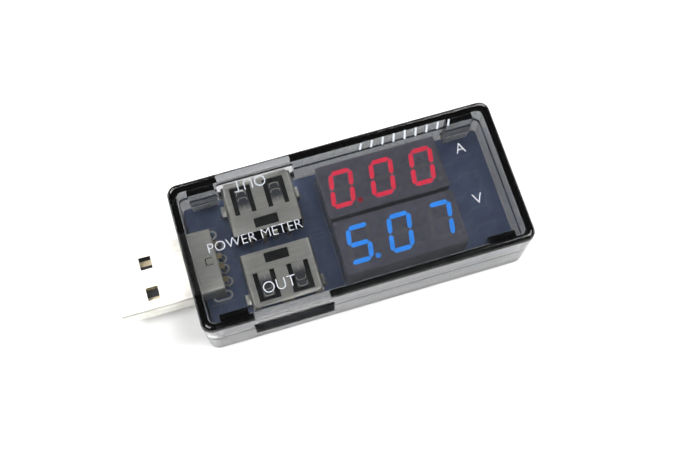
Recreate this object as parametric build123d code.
from build123d import *
import os

# USB power meter: a pass-through volt and ammeter in a clear smoky snap-together case.
# A USB-A plug leaves the left end, two USB-A sockets stand back to back and open through
# the two long sides, and two three-digit displays lie under the cover.
#
# Frame: origin at the middle of the case's bottom face, +X away from the plug, +Z up.
# Lengths are in millimetres. "near" is the -Y side and "far" is the +Y side.

# ---- Case ----
CASE_LENGTH = 61.0
CASE_WIDTH = 28.0
CASE_HEIGHT = 14.2
CASE_WALL = 1.5
PARTING_HEIGHT = 7.8          # the plane where cover and base meet
CORNER_RADIUS = 2.0           # vertical corners, outside
INNER_CORNER_RADIUS = 1.2
TOP_EDGE_RADIUS = 1.0
BOTTOM_EDGE_RADIUS = 0.5
CEILING_RADIUS = 0.15
LIP_WIDTH = 0.7               # the base's rim that stands up inside the cover
LIP_HEIGHT = 0.9
FIT_GAP = 0.05                # clearance between pieces that slide together
SEAM_CHAMFER = 0.15           # broken outer edge of both halves where they meet

# ---- Snap clips, four of them, moulded on the cover ----
CLIP_X = 24.5
CLIP_WIDTH = 5.0
CLIP_THICKNESS = 1.2
HOOK_DEPTH = 0.4
HOOK_LOW = 5.0
HOOK_HIGH = 6.0

# ---- Circuit board ----
BOARD_LENGTH = 57.6
BOARD_WIDTH = 24.2
BOARD_TOP = 4.2
BOARD_THICKNESS = 1.2
BOARD_BOTTOM = BOARD_TOP - BOARD_THICKNESS
POST_RADIUS = 1.3
POST_PLACES = [(-27.0, 10.3), (-5.0, 10.6), (27.0, 10.3)]

# ---- Through-hole joints ----
PIN_END = 2.2                 # height that every soldered pin reaches down to
SOLDER_DEPTH = 0.6

# ---- USB-A contact layout, shared by the plug and the sockets ----
OUTER_CONTACT = 3.5
INNER_CONTACT = 1.0
CONTACT_WIDTH = 1.0
LEG_WIDTH = 0.5
LEG_THICKNESS = 0.3
SHEET = 0.3                   # thickness of the pressed shells

# ---- Plug ----
PLUG_WIDTH = 12.0
PLUG_HEIGHT = 4.5
PLUG_LENGTH = 18.8
PLUG_REAR = -24.95            # inner end of the shell
PLUG_TIP = PLUG_REAR - PLUG_LENGTH
PLUG_Z = BOARD_TOP + FIT_GAP + PLUG_HEIGHT / 2
PLUG_CORNER = 0.6
PLUG_LEG_X = -24.2
PLUG_TAB_X = -25.9
PLUG_TAB_LENGTH = 1.9
PLUG_OPENING_GAP = 0.15

# ---- Sockets, modelled with the mouth towards +Y and the rear face at y = 0 ----
SOCKET_X = -14.55
SOCKET_PAIR_Y = 0.6           # middle of the pair, a little to the far side
SOCKET_REAR_GAP = 3.74        # between the two rear faces
SOCKET_WIDTH = 13.1
SOCKET_HEIGHT = 5.7
SOCKET_STRAIGHT = 9.7         # length of the straight shell
FLANGE_START = 9.35           # where the top of the mouth bends up into a flange
FLANGE_END = 10.05
FLANGE_WIDTH = 11.7
FLANGE_RISE = 0.28
SOCKET_CORNER = 0.6
SOCKET_Z = BOARD_TOP + FIT_GAP + SOCKET_HEIGHT / 2
NOTCH_X = -14.35
NOTCH_WIDTH = 14.6
NOTCH_HEIGHT = 7.2
NOTCH_RADIUS = 0.6

LOCK_WIDTH = 4.4
LOCK_START = 0.6
LOCK_END = 2.45
POCKET_X = 3.1
POCKET_WIDTH = 3.9
POCKET_START = 3.76
POCKET_END = 9.15
FINGER_WIDTH = 2.2
HINGE_GAP = 0.03              # running gap at the root of each flexing leaf
FINGER_PROFILE = [            # distance from the root, and how far in the finger lies there
    (HINGE_GAP, 0.0),
    (2.4, 0.25),
    (3.4, 0.62),
    (4.6, 0.45),
]

BLOCK_DEPTH = 2.6             # insulator's rear block
TONGUE_WIDTH = 11.1
TONGUE_END = 9.0
TONGUE_LOW = 0.06
TONGUE_HIGH = 1.90
GROOVE_WIDTH = 1.2
GROOVE_DEPTH = 0.9
CONTACT_Z = 0.4
CONTACT_SHEET = 0.2
TAIL_FRONT = 2.75
SOCKET_LEG_Y = -0.4
SHELL_TAB_X = 7.2
SHELL_TAB_Y = 6.9
SHELL_TAB_WIDTH = 2.0

# ---- Displays ----
DISPLAY_X = 7.7
DISPLAY_PAIR_Y = -0.15        # middle of the pair
DISPLAY_SPACING = 10.84       # between the middles of the two rows
DISPLAY_LENGTH = 22.6
DISPLAY_WIDTH = 10.1
DISPLAY_TOP = 11.8
DISPLAY_BOTTOM = 4.7
DISPLAY_BOARD = 1.2           # thickness of the little board that closes the housing
DISPLAY_RIM = 0.4
DIGIT_PITCH = 7.6
DIGIT_HEIGHT = 7.1
DIGIT_WIDTH = 4.5
DIGIT_SLANT = 0.17            # sideways shift per unit of height
SEGMENT = 0.85
SEGMENT_GAP = 0.09
POINT_RADIUS = 0.5
PIN_PITCH = 2.54
PIN_ROW = 4.0
PIN_SIZE = 0.5

TOP_ROW_READING = ("0.", "0", "0")
BOTTOM_ROW_READING = ("5.", "0", "7")
LIT_SEGMENTS = {"0": "abcdef", "5": "acdfg", "7": "abc"}

CONTACT_NAMES = {
    "vbus": OUTER_CONTACT,
    "data_minus": INNER_CONTACT,
    "data_plus": -INNER_CONTACT,
    "ground": -OUTER_CONTACT,
}


def block(x0, x1, y0, y1, z0, z1):
    """A box between the given limits."""
    centre = Pos((x0 + x1) / 2, (y0 + y1) / 2, (z0 + z1) / 2)
    return centre * Box(abs(x1 - x0), abs(y1 - y0), abs(z1 - z0))


def slab(length, width, radius, low, high):
    """An upright prism with rounded corners, centred on the origin."""
    outline = Plane.XY.offset(low) * RectangleRounded(length, width, radius)
    return extrude(outline, amount=high - low)


def tube_y(width, height, radius, y0, y1):
    """A rounded bar that runs along Y from y0 to y1."""
    outline = Plane.XZ.offset(-y0) * RectangleRounded(width, height, radius)
    return extrude(outline, amount=-(y1 - y0))


def tube_x(width, height, radius, x0, x1):
    """A rounded bar that runs along X from x0 to x1."""
    outline = Plane.YZ.offset(x0) * RectangleRounded(width, height, radius)
    return extrude(outline, amount=x1 - x0)


def leaf(points, thickness, width, x=0.0):
    """A bent strip: points are (y, z) along its middle, width is along X."""
    upper = [(y, z + thickness / 2) for y, z in points]
    lower = [(y, z - thickness / 2) for y, z in reversed(points)]
    outline = Plane.YZ.offset(x - width / 2) * make_face(Polyline(*upper, *lower, close=True))
    return extrude(outline, amount=width)


def joined(pieces):
    """One solid from touching pieces."""
    whole = pieces[0]
    for piece in pieces[1:]:
        whole = whole + piece
    return whole


def save(name, shape):
    """Write one node; a list becomes a group of separate solids."""
    solids = shape if isinstance(shape, list) else [shape]
    loose = []
    for solid in solids:
        loose.extend(solid.solids())
    whole = loose[0] if len(loose) == 1 else Compound(children=loose)
    export_step(whole, f"parts/{name}.step")


# ---- Where things stand ----

def place_far(shape):
    """From socket coordinates to the far socket's place."""
    return Pos(SOCKET_X, SOCKET_PAIR_Y + SOCKET_REAR_GAP / 2, SOCKET_Z) * shape


def place_near(shape):
    """From socket coordinates to the near socket's place, turned half round."""
    return Pos(SOCKET_X, SOCKET_PAIR_Y - SOCKET_REAR_GAP / 2, SOCKET_Z) * Rot(0, 0, 180) * shape


SOCKET_PLACES = {"near": place_near, "far": place_far}


def pin_holes():
    """Every soldered pin: place in plan, size in X and in Y."""
    holes = []
    for side in (-1, 1):
        rear = SOCKET_PAIR_Y + side * SOCKET_REAR_GAP / 2
        for offset in CONTACT_NAMES.values():
            holes.append((SOCKET_X + offset, rear + side * SOCKET_LEG_Y, LEG_WIDTH, LEG_THICKNESS))
        for end in (-1, 1):
            holes.append((SOCKET_X + end * SHELL_TAB_X, rear + side * SHELL_TAB_Y, SHEET, SHELL_TAB_WIDTH))
    for offset in CONTACT_NAMES.values():
        holes.append((PLUG_LEG_X, offset, LEG_THICKNESS, LEG_WIDTH))
    for side in (-1, 1):
        tab_y = side * (PLUG_WIDTH / 2 - SHEET / 2)
        holes.append((PLUG_TAB_X, tab_y, PLUG_TAB_LENGTH, SHEET))
    for row in (-1, 1):
        for x, y in display_pins(row):
            holes.append((x, y, PIN_SIZE, PIN_SIZE))
    return holes


def display_y(row):
    """Middle of a display: row 1 is the far one, row -1 the near one."""
    return DISPLAY_PAIR_Y + row * DISPLAY_SPACING / 2


def display_pins(row):
    """Eleven pins under one display: six on one side, five on the other."""
    places = []
    for side in (-1, 1):
        for index in range(6):
            if side == 1 and index == 5:
                continue
            x = DISPLAY_X + (index - 2.5) * PIN_PITCH
            places.append((x, display_y(row) + side * PIN_ROW))
    return places


# ---- Case ----

def case_openings():
    """The socket notches through both long sides and the plug's opening."""
    notch = Pos(NOTCH_X, 0, SOCKET_Z) * tube_y(
        NOTCH_WIDTH, NOTCH_HEIGHT, NOTCH_RADIUS, -CASE_WIDTH, CASE_WIDTH)
    plug_hole = Pos(0, 0, PLUG_Z) * tube_x(
        PLUG_WIDTH + 2 * PLUG_OPENING_GAP,
        PLUG_HEIGHT + 2 * PLUG_OPENING_GAP,
        PLUG_CORNER,
        -CASE_LENGTH / 2 - 1,
        -CASE_LENGTH / 2 + CASE_WALL + 0.5)
    return [notch, plug_hole]


def case_body():
    """The closed case with its cavity, before it is parted."""
    outer = slab(CASE_LENGTH, CASE_WIDTH, CORNER_RADIUS, 0, CASE_HEIGHT)
    outer = fillet(outer.faces().sort_by(Axis.Z)[-1].edges(), TOP_EDGE_RADIUS)
    outer = fillet(outer.faces().sort_by(Axis.Z)[0].edges(), BOTTOM_EDGE_RADIUS)
    return outer - case_cavity()


def case_cavity():
    inner_length = CASE_LENGTH - 2 * CASE_WALL
    inner_width = CASE_WIDTH - 2 * CASE_WALL
    cavity = slab(inner_length, inner_width, INNER_CORNER_RADIUS, CASE_WALL, CASE_HEIGHT - CASE_WALL)
    return fillet(cavity.faces().sort_by(Axis.Z)[-1].edges(), CEILING_RADIUS)


def lip_ring(extra_width, extra_height):
    """The rim of the base that stands up inside the cover."""
    grow = 2 * (LIP_WIDTH + extra_width)
    ring = slab(
        CASE_LENGTH - 2 * CASE_WALL + grow,
        CASE_WIDTH - 2 * CASE_WALL + grow,
        INNER_CORNER_RADIUS + LIP_WIDTH,
        PARTING_HEIGHT,
        PARTING_HEIGHT + LIP_HEIGHT + extra_height)
    return ring


def clip(x, side):
    """A snap clip: a tab down the wall that also holds the board, with an outward hook."""
    wall = CASE_WIDTH / 2 - CASE_WALL
    outer = wall - FIT_GAP
    inner = outer - CLIP_THICKNESS
    x0 = x - CLIP_WIDTH / 2
    x1 = x + CLIP_WIDTH / 2
    above_lip = PARTING_HEIGHT + LIP_HEIGHT + 2 * FIT_GAP
    root = block(x0, x1, side * inner, side * (wall + 0.2), above_lip, CASE_HEIGHT - CASE_WALL + 0.2)
    tab = block(x0, x1, side * inner, side * outer, BOARD_TOP + FIT_GAP, above_lip)
    hook_outline = Plane.YZ.offset(x0) * make_face(Polyline(
        (side * (outer - 0.1), HOOK_LOW),
        (side * outer, HOOK_LOW),
        (side * (outer + HOOK_DEPTH), HOOK_HIGH - 0.3),
        (side * (outer + HOOK_DEPTH), HOOK_HIGH),
        (side * (outer - 0.1), HOOK_HIGH),
        close=True))
    hook = extrude(hook_outline, amount=CLIP_WIDTH)
    return joined([root, tab, hook])


def clip_catch(x, side):
    """The recess in the base's wall that a hook snaps into."""
    wall = CASE_WIDTH / 2 - CASE_WALL
    half = CLIP_WIDTH / 2 + 0.2
    deep = wall + HOOK_DEPTH + FIT_GAP
    return block(x - half, x + half, side * (wall - 0.5), side * deep, HOOK_LOW - 0.1, HOOK_HIGH + 0.1)


def clip_places():
    return [(x, side) for x in (-CLIP_X, CLIP_X) for side in (-1, 1)]


def half_outline(low, high):
    """The case's outline between two heights, with the outer edge broken at the seam."""
    outline = slab(CASE_LENGTH, CASE_WIDTH, CORNER_RADIUS, low, high)
    seam = 0 if low == PARTING_HEIGHT else -1
    return chamfer(outline.faces().sort_by(Axis.Z)[seam].edges(), SEAM_CHAMFER)


def cover():
    shape = case_body() & half_outline(PARTING_HEIGHT, CASE_HEIGHT + 1)
    shape = shape - lip_ring(FIT_GAP, FIT_GAP)
    shape = joined([shape] + [clip(x, side) for x, side in clip_places()])
    for opening in case_openings():
        shape = shape - opening
    return shape


def base():
    shape = case_body() & half_outline(-1, PARTING_HEIGHT)
    shape = shape + (lip_ring(0, 0) - case_cavity())
    for x, y in POST_PLACES:
        for side in (-1, 1):
            post = Cylinder(POST_RADIUS, BOARD_BOTTOM - CASE_WALL + 0.2)
            height = (BOARD_BOTTOM + CASE_WALL - 0.2) / 2
            shape = shape + Pos(x, side * y, height) * post
    for x, side in clip_places():
        shape = shape - clip_catch(x, side)
    for opening in case_openings():
        shape = shape - opening
    return shape


# ---- Circuit board and solder ----

def circuit_board():
    shape = slab(BOARD_LENGTH, BOARD_WIDTH, 0.5, BOARD_BOTTOM, BOARD_TOP)
    for x, y, size_x, size_y in pin_holes():
        hole = slab(size_x + 0.4, size_y + 0.4, 0.3, BOARD_BOTTOM - 1, BOARD_TOP + 1)
        shape = shape - Pos(x, y, 0) * hole
    return shape


def solder_joints():
    """One fillet of solder around each pin, under the board."""
    joints = []
    for x, y, size_x, size_y in pin_holes():
        wide = slab(size_x + 1.1, size_y + 1.1, 0.5, BOARD_BOTTOM - 0.15, BOARD_BOTTOM)
        narrow = slab(size_x + 0.4, size_y + 0.4, 0.3, BOARD_BOTTOM - SOLDER_DEPTH, BOARD_BOTTOM)
        pin = block(-size_x / 2, size_x / 2, -size_y / 2, size_y / 2, 0, BOARD_TOP)
        joints.append(Pos(x, y, 0) * (wide + narrow - pin))
    return joints


# ---- Plug ----

def plug_shell():
    inner_width = PLUG_WIDTH - 2 * SHEET
    inner_height = PLUG_HEIGHT - 2 * SHEET
    sleeve = tube_x(PLUG_WIDTH, PLUG_HEIGHT, PLUG_CORNER, PLUG_TIP, PLUG_REAR)
    hollow = tube_x(inner_width, inner_height, PLUG_CORNER - SHEET, PLUG_TIP - 1, PLUG_REAR + 1)
    shape = Pos(0, 0, PLUG_Z) * (sleeve - hollow)
    window_x = PLUG_TIP + 6.3
    for side in (-1, 1):
        window = block(window_x - 1.1, window_x + 1.1, side * 1.7, side * 4.1, 0, CASE_HEIGHT)
        shape = shape - window
        y_outer = side * PLUG_WIDTH / 2
        y_inner = side * (PLUG_WIDTH / 2 - SHEET)
        x0 = PLUG_TAB_X - PLUG_TAB_LENGTH / 2
        x1 = PLUG_TAB_X + PLUG_TAB_LENGTH / 2
        shape = shape + block(x0, x1, y_inner, y_outer, PIN_END, PLUG_Z)
    return shape - crimp_slot()


def crimp_slot():
    """The U-shaped cut around the crimp that locks the shell on its insulator."""
    top = PLUG_Z + PLUG_HEIGHT / 2
    low = top - SHEET - 0.01
    back = block(-27.1, -26.9, -0.95, 0.5, low, top + 1)
    arms = [block(-27.1, -25.7, y, y + 0.2, low, top + 1) for y in (-0.95, 0.3)]
    return joined([back] + arms)


def plug_contact(offset):
    """Strip along the plate, out of the rear block and down into the board."""
    tip_gap = 1.2 if abs(offset) > INNER_CONTACT else 2.2
    x0 = PLUG_TIP + tip_gap
    x1 = PLUG_LEG_X + LEG_THICKNESS / 2
    half = CONTACT_WIDTH / 2
    strip = block(x0, x1, offset - half, offset + half, PLUG_Z - 0.25, PLUG_Z)
    x2 = PLUG_LEG_X - LEG_THICKNESS / 2
    leg = block(x2, x1, offset - LEG_WIDTH / 2, offset + LEG_WIDTH / 2, PIN_END, PLUG_Z)
    return strip + leg


def plug_insulator():
    """Rear block and the plate that carries the contacts."""
    width = PLUG_WIDTH - 2 * SHEET - 0.04
    height = PLUG_HEIGHT - 2 * SHEET - 0.04
    rear = PLUG_REAR - 0.25
    shape = Pos(0, 0, PLUG_Z) * tube_x(width, height, PLUG_CORNER - SHEET, PLUG_REAR - 5.5, rear)
    half = width / 2 - PLUG_CORNER / 2
    plate = block(PLUG_TIP + 0.5, rear, -half, half, PLUG_Z - height / 2, PLUG_Z)
    shape = shape + plate
    for offset in CONTACT_NAMES.values():
        shape = shape - plug_contact(offset)
    return shape


# ---- Sockets ----

def mouth_flange():
    """The lip at the top of a socket's mouth, bent up to guide the plug in."""
    middle = SOCKET_HEIGHT / 2 - SHEET / 2
    bend = [(FLANGE_START, middle), (FLANGE_END, middle + FLANGE_RISE)]
    return leaf(bend, SHEET, FLANGE_WIDTH)


def socket_shell():
    inner_width = SOCKET_WIDTH - 2 * SHEET
    inner_height = SOCKET_HEIGHT - 2 * SHEET
    inner_corner = SOCKET_CORNER - SHEET
    sleeve = tube_y(SOCKET_WIDTH, SOCKET_HEIGHT, SOCKET_CORNER, 0, SOCKET_STRAIGHT)
    hollow = tube_y(inner_width, inner_height, inner_corner, -1, SOCKET_STRAIGHT + 1)
    half = FLANGE_WIDTH / 2
    flange_gap = block(-half, half, FLANGE_START, SOCKET_STRAIGHT + 1, 0, SOCKET_HEIGHT)
    shape = (sleeve - hollow - flange_gap) + mouth_flange()
    through = SOCKET_HEIGHT
    shape = shape - block(-LOCK_WIDTH / 2, LOCK_WIDTH / 2, LOCK_START, LOCK_END, -through, through)
    for side in (-1, 1):
        x0 = side * POCKET_X - POCKET_WIDTH / 2
        shape = shape - block(x0, x0 + POCKET_WIDTH, POCKET_START, POCKET_END, -through, through)
        shape = shape + shell_tab(side)
    return shape


def shell_tab(side):
    """Board tab at the side of a socket shell: out, then down through the board."""
    y0 = SHELL_TAB_Y - SHELL_TAB_WIDTH / 2
    y1 = SHELL_TAB_Y + SHELL_TAB_WIDTH / 2
    inner = side * (SOCKET_WIDTH / 2 - SHEET)
    outer = side * (SHELL_TAB_X + SHEET / 2)
    middle = side * (SHELL_TAB_X - SHEET / 2)
    high = -2.0
    low = PIN_END - SOCKET_Z
    return block(inner, outer, y0, y1, high - SHEET, high) + block(middle, outer, y0, y1, low, high)


def spring_fingers(side):
    """The pair of shell springs on one broad face: side 1 is the top, -1 the bottom."""
    root = SOCKET_HEIGHT / 2 - SHEET / 2
    profile = [(POCKET_START + along, side * (root - inward)) for along, inward in FINGER_PROFILE]
    return [leaf(profile, SHEET, FINGER_WIDTH, x) for x in (-POCKET_X, POCKET_X)]


def contact_tail(offset):
    """The fixed end of a socket contact: through the rear block and down into the board."""
    half = CONTACT_WIDTH / 2
    z0 = CONTACT_Z - CONTACT_SHEET / 2
    z1 = CONTACT_Z + CONTACT_SHEET / 2
    y0 = SOCKET_LEG_Y - LEG_THICKNESS / 2
    y1 = SOCKET_LEG_Y + LEG_THICKNESS / 2
    strip = block(offset - half, offset + half, y0, TAIL_FRONT, z0, z1)
    half_leg = LEG_WIDTH / 2
    leg = block(offset - half_leg, offset + half_leg, y0, y1, PIN_END - SOCKET_Z, z1)
    return strip + leg


def contact_leaf(offset):
    """The flexing end of a socket contact, bowed down out of its groove."""
    profile = [
        (TAIL_FRONT + HINGE_GAP, CONTACT_Z),
        (6.2, 0.0),
        (7.2, -0.2),
        (8.3, 0.25),
    ]
    return leaf(profile, CONTACT_SHEET, CONTACT_WIDTH, offset)


def socket_insulator():
    """Rear block and tongue, grooved for the four contacts."""
    width = SOCKET_WIDTH - 2 * SHEET - 0.04
    height = SOCKET_HEIGHT - 2 * SHEET - 0.04
    shape = tube_y(width, height, SOCKET_CORNER - SHEET, 0, BLOCK_DEPTH)
    half = TONGUE_WIDTH / 2
    shape = shape + block(-half, half, BLOCK_DEPTH - 0.5, TONGUE_END, TONGUE_LOW, TONGUE_HIGH)
    for offset in CONTACT_NAMES.values():
        x0 = offset - GROOVE_WIDTH / 2
        x1 = offset + GROOVE_WIDTH / 2
        groove = block(x0, x1, BLOCK_DEPTH, TONGUE_END - 0.5, TONGUE_LOW - 1, TONGUE_LOW + GROOVE_DEPTH)
        shape = shape - groove - contact_tail(offset)
    return shape


# ---- Displays ----

def segment_outline(along, middle, length, upright):
    """A bar with pointed ends; `middle` is its centre, `along` its place across."""
    half = SEGMENT / 2
    reach = length / 2 - SEGMENT_GAP
    bar = [(-reach, 0), (-reach + half, half), (reach - half, half),
           (reach, 0), (reach - half, -half), (-reach + half, -half)]
    if upright:
        return [(along + b, middle + a) for a, b in bar]
    return [(along + a, middle + b) for a, b in bar]


def digit_segments():
    """The seven bars of a digit, lettered a to g, before they are slanted."""
    wide = DIGIT_WIDTH - SEGMENT
    tall = (DIGIT_HEIGHT - SEGMENT) / 2
    right = wide / 2
    return {
        "a": segment_outline(0, tall, wide, False),
        "b": segment_outline(right, tall / 2, tall, True),
        "c": segment_outline(right, -tall / 2, tall, True),
        "d": segment_outline(0, -tall, wide, False),
        "e": segment_outline(-right, -tall / 2, tall, True),
        "f": segment_outline(-right, tall / 2, tall, True),
        "g": segment_outline(0, 0, wide, False),
    }


def display_lights(row, reading):
    """Lit and unlit light wells of one display."""
    low = DISPLAY_BOTTOM + DISPLAY_BOARD
    depth = DISPLAY_TOP - low
    lit = []
    unlit = []
    for index, figure in enumerate(reading):
        x = DISPLAY_X + (index - 1) * DIGIT_PITCH
        y = display_y(row)
        for letter, outline in digit_segments().items():
            points = [(x + a + DIGIT_SLANT * b, y + b) for a, b in outline]
            face = Plane.XY.offset(low) * make_face(Polyline(*points, close=True))
            group = lit if letter in LIT_SEGMENTS[figure[0]] else unlit
            group.append(extrude(face, amount=depth))
        point_y = y - DIGIT_HEIGHT / 2 + POINT_RADIUS
        point_x = x + DIGIT_WIDTH / 2 + POINT_RADIUS + 0.35 - DIGIT_SLANT * DIGIT_HEIGHT / 2
        group = lit if figure.endswith(".") else unlit
        group.append(Pos(point_x, point_y, low + depth / 2) * Cylinder(POINT_RADIUS, depth))
    return lit, unlit


def display_board(row):
    """The small board that carries the light chips and closes the housing."""
    length = DISPLAY_LENGTH - 2 * DISPLAY_RIM
    width = DISPLAY_WIDTH - 2 * DISPLAY_RIM
    top = DISPLAY_BOTTOM + DISPLAY_BOARD
    return Pos(DISPLAY_X, display_y(row), 0) * slab(length, width, 0.3, DISPLAY_BOTTOM, top)


def display_housing(row, lights):
    """Reflector housing with a light well for every bar and point."""
    here = Pos(DISPLAY_X, display_y(row), 0)
    shape = here * slab(DISPLAY_LENGTH, DISPLAY_WIDTH, 0.4, DISPLAY_BOTTOM, DISPLAY_TOP)
    shape = shape - display_board(row)
    foot_x = DISPLAY_LENGTH / 2 - 0.2
    foot_y = DISPLAY_WIDTH / 2 - 0.2
    for end in (-1, 1):
        for side in (-1, 1):
            foot = block(end * (foot_x - 0.2), end * foot_x, side * (foot_y - 0.2), side * foot_y,
                         BOARD_TOP, DISPLAY_BOTTOM + 0.1)
            shape = shape + here * foot
    for light in lights:
        shape = shape - light
    return shape


def display_pin_group(row):
    half = PIN_SIZE / 2
    pins = []
    for x, y in display_pins(row):
        pins.append(block(x - half, x + half, y - half, y + half, PIN_END, DISPLAY_BOTTOM))
    return pins


# ---- Small parts under the board ----

def chip(x, y, length, width, height):
    """A moulded package that hangs under the board with a small gap."""
    top = BOARD_BOTTOM - 0.1
    return block(x - length / 2, x + length / 2, y - width / 2, y + width / 2, top - height, top)


def chip_leads(x, y, half_span, rows, lead_width):
    """Flat leads along both long sides of a package; rows holds each side's y places."""
    leads = []
    for side, places in rows.items():
        for place in places:
            inner = x + side * half_span
            outer = x + side * (half_span + 0.9)
            y0 = y + place - lead_width / 2
            y1 = y + place + lead_width / 2
            shoulder = block(inner, x + side * (half_span + 0.4), y0, y1, 2.35, 2.5)
            riser = block(x + side * (half_span + 0.25), x + side * (half_span + 0.4), y0, y1, 2.35, 3.0)
            foot = block(x + side * (half_span + 0.25), outer, y0, y1, 2.85, 3.0)
            leads.append(joined([shoulder, riser, foot]))
    return leads


def surface_parts(places, length, width, height):
    """Two-ended chip parts soldered flat under the board."""
    parts = []
    for x, y in places:
        parts.append(block(x - length / 2, x + length / 2, y - width / 2, y + width / 2,
                           BOARD_BOTTOM - height, BOARD_BOTTOM))
    return parts


def spread(count, pitch):
    """Evenly spaced places about zero."""
    return [(index - (count - 1) / 2) * pitch for index in range(count)]


CONTROLLER_AT = (20.6, 0.0)
REGULATOR_AT = (20.6, 8.0)
AMPLIFIER_AT = (-3.2, 5.2)
SHUNT_AT = (-3.2, -2.6)
CAPACITOR_PLACES = [(24.6, 6.4), (24.6, 9.2), (16.8, 8.0), (20.6, -5.4), (20.6, -8.0), (-3.2, 8.2)]
RESISTOR_PLACES = [(x, display_y(row)) for row in (-1, 1) for x in (1.0, 3.6, 6.2, 8.8, 11.4, 14.0)]


def main():
    os.makedirs("parts", exist_ok=True)

    save("cover", cover())
    save("base", base())
    save("circuit_board", circuit_board())
    save("solder_joints", solder_joints())

    save("plug_shell", plug_shell())
    save("plug_insulator", plug_insulator())
    for name, offset in CONTACT_NAMES.items():
        save(f"plug_contact_{name}", plug_contact(-offset))

    for side, place in SOCKET_PLACES.items():
        save(f"{side}_socket_shell", place(socket_shell()))
        save(f"{side}_socket_insulator", place(socket_insulator()))
        save(f"{side}_socket_top_springs", [place(finger) for finger in spring_fingers(1)])
        save(f"{side}_socket_bottom_springs", [place(finger) for finger in spring_fingers(-1)])
        for name, offset in CONTACT_NAMES.items():
            save(f"{side}_contact_tail_{name}", place(contact_tail(offset)))
            save(f"{side}_contact_leaf_{name}", place(contact_leaf(offset)))

    for name, row, reading in (("ammeter", 1, TOP_ROW_READING), ("voltmeter", -1, BOTTOM_ROW_READING)):
        lit, unlit = display_lights(row, reading)
        save(f"{name}_housing", display_housing(row, lit + unlit))
        save(f"{name}_display_board", display_board(row))
        save(f"{name}_pins", display_pin_group(row))
        save(f"{name}_lit_segments", lit)
        save(f"{name}_unlit_segments", unlit)

    both = {-1: spread(10, 0.65), 1: spread(10, 0.65)}
    save("controller_chip", chip(*CONTROLLER_AT, 4.4, 6.5, 0.9))
    save("controller_leads", chip_leads(*CONTROLLER_AT, 2.2, both, 0.25))
    save("voltage_regulator", chip(*REGULATOR_AT, 1.4, 2.9, 1.0))
    save("regulator_leads", chip_leads(*REGULATOR_AT, 0.7, {-1: spread(2, 1.9), 1: [0.0]}, 0.4))
    save("current_amplifier", chip(*AMPLIFIER_AT, 1.6, 2.9, 1.0))
    save("amplifier_leads", chip_leads(*AMPLIFIER_AT, 0.8, {-1: spread(3, 0.95), 1: spread(2, 1.9)}, 0.4))
    save("shunt_resistor", surface_parts([SHUNT_AT], 3.1, 6.3, 0.6))
    save("ceramic_capacitors", surface_parts(CAPACITOR_PLACES, 2.0, 1.25, 0.85))
    save("chip_resistors", surface_parts(RESISTOR_PLACES, 1.6, 0.8, 0.45))


main()
